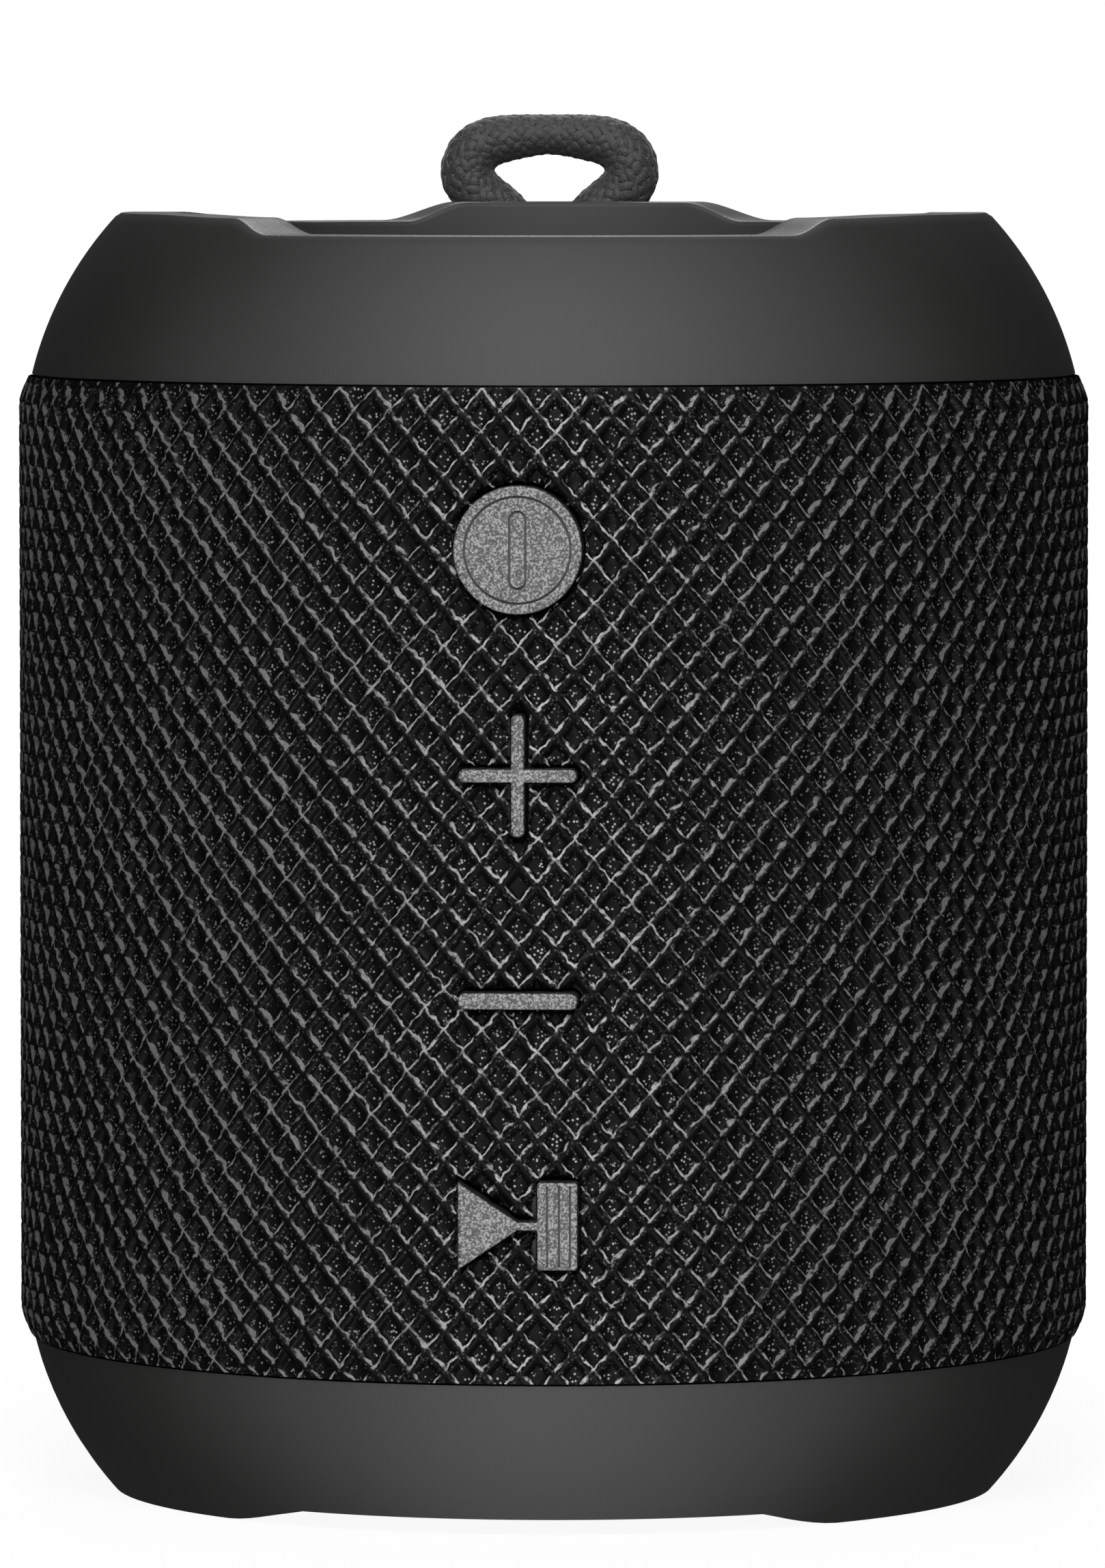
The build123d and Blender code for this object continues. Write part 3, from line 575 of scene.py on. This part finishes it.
def fabric_quarter(name, start, end):
    """The quarter of the sleeve between two angles from the front."""
    reach = int((HIGH - LOW) / ROW) + 4
    first = int(LOW / ROW) - 2
    cells = []
    for twice_column in range(int(start / 180 * COLUMNS) - 1, int(end / 180 * COLUMNS) + 2):
        for twice_row in range(2 * first, 2 * (first + reach)):
            if (twice_column + twice_row) % 2:
                continue
            degrees = (twice_column + 1) / 2 * 360 / COLUMNS
            z = twice_row / 2 * ROW
            if start <= degrees < end and LOW - ROW / 2 < z < HIGH + ROW / 2:
                cells.append(((twice_column + twice_row) // 2, (twice_column - twice_row) // 2))
    cells = np.array(cells)
    k, l = np.meshgrid(np.arange(LINES), np.arange(LINES), indexing="ij")
    low_a = (cells[:, 0, None, None] * LINES + k).ravel()
    low_b = (cells[:, 1, None, None] * LINES + l).ravel()
    base = 1 << 20
    codes = [
        (low_a + da + base) * (base * 4) + (low_b + db + base)
        for da, db in ((0, 0), (1, 0), (1, 1), (0, 1))
    ]
    unique, index = np.unique(np.stack(codes, axis=1), return_inverse=True)
    quads = index.reshape(-1, 4)
    line_a, line_b = unique // (base * 4) - base, unique % (base * 4) - base
    a = line_a // LINES + cell_lines[line_a % LINES]
    b = line_b // LINES + cell_lines[line_b % LINES]
    z = (a - b) / 2 * ROW
    shift = np.clip(z, LOW, HIGH) - z
    a, b = a + shift / ROW, b - shift / ROW
    _, _, _, gap = fabric_radius(a, b)
    points = fabric_point(a, b)
    step = 0.02
    along_a = fabric_point(a + step, b) - fabric_point(a - step, b)
    along_b = fabric_point(a, b + step) - fabric_point(a, b - step)
    normals = np.cross(along_b, along_a)
    normals /= np.linalg.norm(normals, axis=1)[:, None]
    outward = points * [1, 1, 0]
    normals *= np.sign((normals * outward).sum(1))[:, None]
    corners = points[quads]
    size = np.linalg.norm(
        np.cross(corners[:, 2] - corners[:, 0], corners[:, 3] - corners[:, 1]), axis=1
    )
    keep = (size > 1e-4) & (gap[quads].min(1) > 0.08)
    quads = quads[keep]
    centre = corners[keep].mean(1) * [1, 1, 0]
    kept = corners[keep]
    facing = np.cross(kept[:, 1] - kept[:, 0], kept[:, 3] - kept[:, 0])
    inward = (facing * centre).sum(1) < 0
    quads[inward] = quads[inward][:, ::-1]
    used, quads = np.unique(quads, return_inverse=True)
    quads = quads.reshape(-1, 4)
    mesh = bpy.data.meshes.new(name)
    mesh.vertices.add(len(used))
    mesh.vertices.foreach_set("co", (points[used] * MM).ravel())
    mesh.loops.add(quads.size)
    mesh.loops.foreach_set("vertex_index", quads.ravel())
    mesh.polygons.add(len(quads))
    mesh.polygons.foreach_set("loop_start", np.arange(0, quads.size, 4))
    mesh.polygons.foreach_set("use_smooth", np.ones(len(quads), bool))
    mesh.update(calc_edges=True)
    mesh.validate()
    mesh.normals_split_custom_set_from_vertices(normals[used].tolist())
    piece = bpy.data.objects.new(name, mesh)
    bpy.context.scene.collection.objects.link(piece)
    return piece


def knit_group():
    """Masks of painted highlight lines along the upper flanks of the strands, at the lower edges
    of the knit's holes, and of painted glints on the fine loops down in its holes.
    """
    tree = bpy.data.node_groups.new("knit", "ShaderNodeTree")
    tree.interface.new_socket("Place", in_out="INPUT", socket_type="NodeSocketVector")
    for name in ("Painted_lines", "Glint_dots"):
        tree.interface.new_socket(name, in_out="OUTPUT", socket_type="NodeSocketFloat")
    begin = tree.nodes.new("NodeGroupInput")
    end = tree.nodes.new("NodeGroupOutput")
    place = begin.outputs["Place"]
    split = put(tree, "ShaderNodeSeparateXYZ", Vector=place)
    x, y, z = split.outputs
    angle = calc(tree, "ARCTAN2", x, calc(tree, "MULTIPLY", y, -1.0))
    column = calc(tree, "MULTIPLY", angle, COLUMNS / (2 * math.pi))
    row = calc(tree, "DIVIDE", z, ROW * MM)
    a = calc(tree, "FRACT", calc(tree, "ADD", column, row))
    b = calc(tree, "FRACT", calc(tree, "SUBTRACT", column, row))
    drift = put(tree, "ShaderNodeTexNoise", Vector=place, Scale=90.0, Detail=1.0)
    long_runs = ramp(tree, drift.outputs["Fac"], [(0.52, 0.0), (0.66, 0.8)])
    # painted highlight: a bright stripe along the upper flank of each strand, at the lower edge
    # of each hole
    arms = []
    for off, along, middle, ends, seed in (
        (a, b, 0.14, [(0.10, 0.0), (0.30, 1.0), (0.86, 1.0), (0.97, 0.0)], 0.0),
        (b, a, 0.86, [(0.03, 0.0), (0.14, 1.0), (0.70, 1.0), (0.90, 0.0)], 0.37),
    ):
        shifted = put(tree, "ShaderNodeVectorMath", _0=place, _1=(seed, seed, seed))
        shifted.operation = "ADD"
        wander = put(
            tree, "ShaderNodeTexNoise", Vector=shifted.outputs[0], Scale=1100.0, Detail=2.0
        )
        line_place = calc(tree, "MULTIPLY_ADD", wander.outputs["Fac"], 0.30, middle - 0.15)
        stripe = ramp(
            tree, calc(tree, "ABSOLUTE", calc(tree, "SUBTRACT", off, line_place)),
            [(0.016, 1.0), (0.055, 0.0)],
        )
        patches = put(
            tree, "ShaderNodeTexNoise", Vector=shifted.outputs[0], Scale=1200.0, Detail=2.0
        )
        broken = ramp(tree, patches.outputs["Fac"], [(0.38, 0.05), (0.55, 1.0)])
        reach = calc(tree, "MAXIMUM", ramp(tree, along, ends), long_runs)
        arm = calc(tree, "MULTIPLY", stripe, reach)
        arms.append(calc(tree, "MULTIPLY", arm, broken))
    painted_lines = calc(tree, "MAXIMUM", *arms)
    deep_a = ramp(tree, a, [(0.22, 0.0), (0.32, 1.0), (0.66, 1.0), (0.80, 0.0)])
    deep_b = ramp(tree, b, [(0.20, 0.0), (0.34, 1.0), (0.68, 1.0), (0.78, 0.0)])
    hole = calc(tree, "MULTIPLY", deep_a, deep_b)
    # painted glints: small bright dots on the inner loops, mostly down in the holes
    loops = put(tree, "ShaderNodeTexVoronoi", Vector=place, Scale=2900.0)
    dots = ramp(tree, loops.outputs["Distance"], [(0.19, 1.0), (0.34, 0.0)])
    few = put(tree, "ShaderNodeTexNoise", Vector=place, Scale=1500.0, Detail=0.0)
    some = ramp(tree, few.outputs["Fac"], [(0.36, 0.0), (0.54, 1.0)])
    all_over = calc(tree, "MULTIPLY_ADD", hole, 0.85, 0.15)
    glint_dots_shown = calc(tree, "MULTIPLY", calc(tree, "MULTIPLY", dots, some), all_over)
    tree.links.new(painted_lines, end.inputs["Painted_lines"])
    tree.links.new(glint_dots_shown, end.inputs["Glint_dots"])
    return tree


def air_mesh_material():
    """Glossy black nylon, with painted highlights: bright metallic lines at the lower edges of
    the holes, and painted glints on the finer loops inside them.
    """
    material, tree, shader = new_material("nylon air mesh")
    place = coordinates(tree)
    knit = tree.nodes.new("ShaderNodeGroup")
    knit.node_tree = knit_group()
    tree.links.new(place, knit.inputs["Place"])
    painted_glints = calc(tree, "MULTIPLY", knit.outputs["Glint_dots"], 0.8)
    painted_highlights = calc(tree, "MAXIMUM", knit.outputs["Painted_lines"], painted_glints)
    # painted highlights: the lines and glints get a bright, metallic colour over the near-black
    # nylon
    colour = ramp(tree, painted_highlights, [(0.0, (0.0030, 0.0031, 0.0031)), (1.0, (0.36, 0.36, 0.356))])
    tree.links.new(colour, shader.inputs["Base Color"])
    tree.links.new(calc(tree, "MULTIPLY", painted_highlights, 0.95), shader.inputs["Metallic"])
    drum = put(tree, "ShaderNodeVectorMath", _0=place, _1=(1.0, 1.0, 0.0))
    drum.operation = "MULTIPLY"
    outward = put(tree, "ShaderNodeVectorMath", _0=drum.outputs[0])
    outward.operation = "NORMALIZE"
    relief = tree.nodes.new("ShaderNodeNewGeometry")
    highlight_normal_mix = tree.nodes.new("ShaderNodeMix")       # the painted highlight lines take the drum's outward normal
    highlight_normal_mix.data_type = "VECTOR"
    on_painted_highlight = calc(tree, "MINIMUM", calc(tree, "MULTIPLY", painted_highlights, 2.0), 1.0)
    tree.links.new(on_painted_highlight, highlight_normal_mix.inputs["Factor"])
    vectors = [socket for socket in highlight_normal_mix.inputs if socket.type == "VECTOR"]
    tree.links.new(relief.outputs["Normal"], vectors[-2])
    tree.links.new(outward.outputs[0], vectors[-1])
    mixed = [socket for socket in highlight_normal_mix.outputs if socket.type == "VECTOR"][0]
    fibre = put(tree, "ShaderNodeTexNoise", Vector=place, Scale=5000.0, Detail=2.0)
    height = calc(tree, "MULTIPLY_ADD", painted_highlights, 0.5, fibre.outputs["Fac"])
    waved = put(
        tree, "ShaderNodeBump", Height=height, Distance=0.00004, Strength=0.35, Normal=mixed
    )
    tree.links.new(waved.outputs["Normal"], shader.inputs["Normal"])
    grainy = calc(tree, "MULTIPLY_ADD", fibre.outputs["Fac"], 0.2, 0.35)
    tree.links.new(calc(tree, "MULTIPLY_ADD", painted_highlights, 0.17, grainy), shader.inputs["Roughness"])
    shader.inputs["Specular IOR Level"].default_value = 0.06
    return material


air_mesh = air_mesh_material()
quarters = [("front", -45), ("right", 45), ("rear", 135), ("left", 225)]
for place, start in quarters:
    panel = fabric_quarter("fabric_sleeve_" + place, start, start + 90)
    panel.data.materials.append(air_mesh)
    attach(panel, "body")
    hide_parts("fabric_sleeve")

# ---- Keys --------------------------------------------------------------------------------------
# Four rubber keys stand out of the fabric: power, plus, minus and play. Their faces are finely
# speckled from the mould, and painted shade darkens the grooves in the power and play keys and
# whatever lies deeper than the key face.
KEY_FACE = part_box("power_button")[0][1]


def key_material():
    """Grey rubber with a fine salt-and-pepper speckle, and painted shade that turns it near black
    down in its grooves.
    """
    material, tree, shader = new_material("speckled key rubber")
    fine = grain(tree, 0.18)
    colour = ramp(tree, fine.outputs["Height"], [(0.38, 0.028), (0.50, 0.080), (0.60, 0.24)])
    # painted shade: the colour goes near black from 0.06 to 0.16 mm behind the key face, so the
    # grooves read dark
    split = put(tree, "ShaderNodeSeparateXYZ", Vector=coordinates(tree))
    behind = calc(tree, "ADD", split.outputs["Y"], -KEY_FACE)
    shade = ramp(tree, calc(tree, "MULTIPLY", behind, 1 / MM), [(0.06, 1.0), (0.16, 0.10)])
    painted_groove_shade = tree.nodes.new("ShaderNodeMix")
    painted_groove_shade.data_type = "RGBA"
    painted_groove_shade.inputs["A"].default_value = (0.004, 0.004, 0.004, 1.0)
    tree.links.new(shade, painted_groove_shade.inputs["Factor"])
    tree.links.new(colour, painted_groove_shade.inputs["B"])
    tree.links.new(painted_groove_shade.outputs["Result"], shader.inputs["Base Color"])
    rough = ramp(tree, fine.outputs["Height"], [(0.3, 0.42), (0.7, 0.55)])
    tree.links.new(rough, shader.inputs["Roughness"])
    tree.links.new(bump(tree, fine.outputs["Height"], 0.00005, 0.8), shader.inputs["Normal"])
    return material


# ---- Finishes of the pieces that keep their own shape ------------------------------------------
# Everything else keeps the shape that it was designed with. Each finish is a plain moulded,
# plated, painted or woven surface with its own grain.


def finish(name, dark, light, size, rough, metallic=0.0, depth=0.00002):
    """A surface that varies between two colours at a grain size in millimetres."""
    material, tree, shader = new_material(name)
    fine = grain(tree, size)
    colour = ramp(tree, fine.outputs["Height"], [(0.3, dark), (0.7, light)])
    tree.links.new(colour, shader.inputs["Base Color"])
    spread = ramp(tree, fine.outputs["Height"], [(0.2, rough - 0.06), (0.8, rough + 0.06)])
    tree.links.new(spread, shader.inputs["Roughness"])
    tree.links.new(bump(tree, fine.outputs["Height"], depth, 0.6), shader.inputs["Normal"])
    shader.inputs["Metallic"].default_value = metallic
    return material


finishes = {
    "cap_rubber": soft_touch,
    "plate_rubber": finish("grained rubber", 0.045, 0.060, 0.35, 0.62, depth=0.00008),
    "mesh_fabric": air_mesh,
    "cord_fabric": loop.data.materials[0],
    "key_rubber": key_material(),
    "shell_plastic": finish("black moulding", 0.016, 0.022, 0.30, 0.50),
    "cabinet_plastic": finish("dark moulding", 0.040, 0.055, 0.40, 0.48),
    "gasket_foam": finish("closed-cell foam", 0.010, 0.030, 0.25, 0.85, depth=0.00006),
    "screw_steel": finish("plated steel", 0.48, 0.62, 0.15, 0.30, metallic=1.0),
    "basket_steel": finish("black stamped steel", 0.030, 0.050, 0.25, 0.42),
    "magnet_plating": finish("nickel plate", 0.55, 0.66, 0.20, 0.18, metallic=1.0),
    "coil_copper": finish(
        "enamelled copper", (0.45, 0.17, 0.06), (0.62, 0.28, 0.12), 0.12, 0.30, metallic=1.0
    ),
    "cone_paper": finish("pulp", 0.030, 0.060, 0.50, 0.75, depth=0.00006),
    "surround_rubber": finish("butyl rubber", 0.012, 0.020, 0.30, 0.45),
    "spider_cloth": finish("treated cloth", (0.40, 0.24, 0.08), (0.55, 0.36, 0.15), 0.30, 0.70),
    "cell_wrap": finish("shrink wrap", (0.02, 0.12, 0.25), (0.03, 0.16, 0.32), 1.50, 0.22),
    "circuit_board": finish("solder mask", (0.01, 0.09, 0.04), (0.02, 0.14, 0.07), 0.60, 0.28),
    "component_body": finish("moulded components", 0.018, 0.030, 0.20, 0.45),
    "plated_tin": finish("tin plate", 0.58, 0.72, 0.30, 0.26, metallic=1.0),
    "jack_plastic": finish("jack moulding", 0.018, 0.026, 0.25, 0.40),
    "lead_insulation": finish(
        "wire insulation", (0.28, 0.02, 0.02), (0.38, 0.04, 0.03), 0.50, 0.38
    ),
    "ribbon_film": finish("ribbon film", (0.42, 0.20, 0.04), (0.52, 0.28, 0.08), 0.60, 0.25),
}
slot_of = {row["node"]: row["material_slot"] for row in frame["record"]["subparts"]}
for name, node in nodes.items():
    node.data.materials.clear()
    node.data.materials.append(finishes[slot_of[name]])

# ---- Studio ------------------------------------------------------------------------------------
# A pale floor that casts nothing back, and a tall bow of lamps in front, so that the caps keep
# one brightness from seam to rim and fall away to dark at both sides. Two more light the back.
bpy.context.scene.view_settings.view_transform = "Standard"
FLOOR = 4.0                       # half its side, in metres
floor = mesh_piece(
    "floor",
    [(-FLOOR, -FLOOR, 0), (FLOOR, -FLOOR, 0), (FLOOR, FLOOR, 0), (-FLOOR, FLOOR, 0)],
    [(0, 1, 2, 3)],
    smooth=False,
)
pale, pale_tree, pale_shader = new_material("pale floor")
pale_shader.inputs["Base Color"].default_value = (0.07, 0.07, 0.07, 1.0)
pale_shader.inputs["Roughness"].default_value = 0.9
pale_shader.inputs["Specular IOR Level"].default_value = 0.0
away = put(pale_tree, "ShaderNodeVectorMath", _0=coordinates(pale_tree))
away.operation = "LENGTH"
glow = ramp(pale_tree, away.outputs["Value"], [(0.05, 0.93), (0.25, 1.0)])
pale_tree.links.new(glow, pale_shader.inputs["Emission Color"])
pale_shader.inputs["Emission Strength"].default_value = 1.0
floor.data.materials.append(pale)
floor.visible_glossy = False
floor.visible_diffuse = False
floor.visible_shadow = False


LAMP_AIM = Vector((0, 0, 0.054))
LAMP_DISTANCE = 1.5


def softbox(name, turn, rise, size, power):
    """An area light that looks at the middle of the speaker, from an angle round and up."""
    light = bpy.data.lights.new(name, "AREA")
    light.shape = "RECTANGLE"
    light.size, light.size_y = size
    light.energy = power
    lamp = bpy.data.objects.new(name, light)
    turn, rise = math.radians(turn), math.radians(rise)
    away = Vector((
        math.sin(turn) * math.cos(rise), -math.cos(turn) * math.cos(rise), math.sin(rise)
    ))
    lamp.location = LAMP_AIM + away * LAMP_DISTANCE
    lamp.rotation_euler = (-away).to_track_quat("-Z", "Y").to_euler()
    lamp.visible_camera = False
    bpy.context.scene.collection.objects.link(lamp)


front_lamps = [
    ("lamp_top", 48, 14.0), ("lamp_high", 24, 12.0),
    ("lamp_low", -22, 8.0), ("lamp_bottom", -52, 10.0),
]
for name, rise, power in front_lamps:
    softbox(name, 2.0, rise, (0.45, 0.55), power)
softbox("lamp_back", 183.0, 48, (0.5, 0.5), 7.0)
softbox("lamp_back_low", 183.0, -4, (0.25, 0.2), 30.0)
world = bpy.data.worlds.new("studio")
world.use_nodes = True
tree = world.node_tree
background = tree.nodes["Background"]
background.inputs["Color"].default_value = (1, 1, 1, 1)
path = tree.nodes.new("ShaderNodeLightPath")
strength = put(tree, "ShaderNodeMapRange", Value=path.outputs["Is Camera Ray"])
strength.inputs["To Min"].default_value = 0.030
strength.inputs["To Max"].default_value = 1.0
tree.links.new(strength.outputs["Result"], background.inputs["Strength"])
bpy.context.scene.world = world
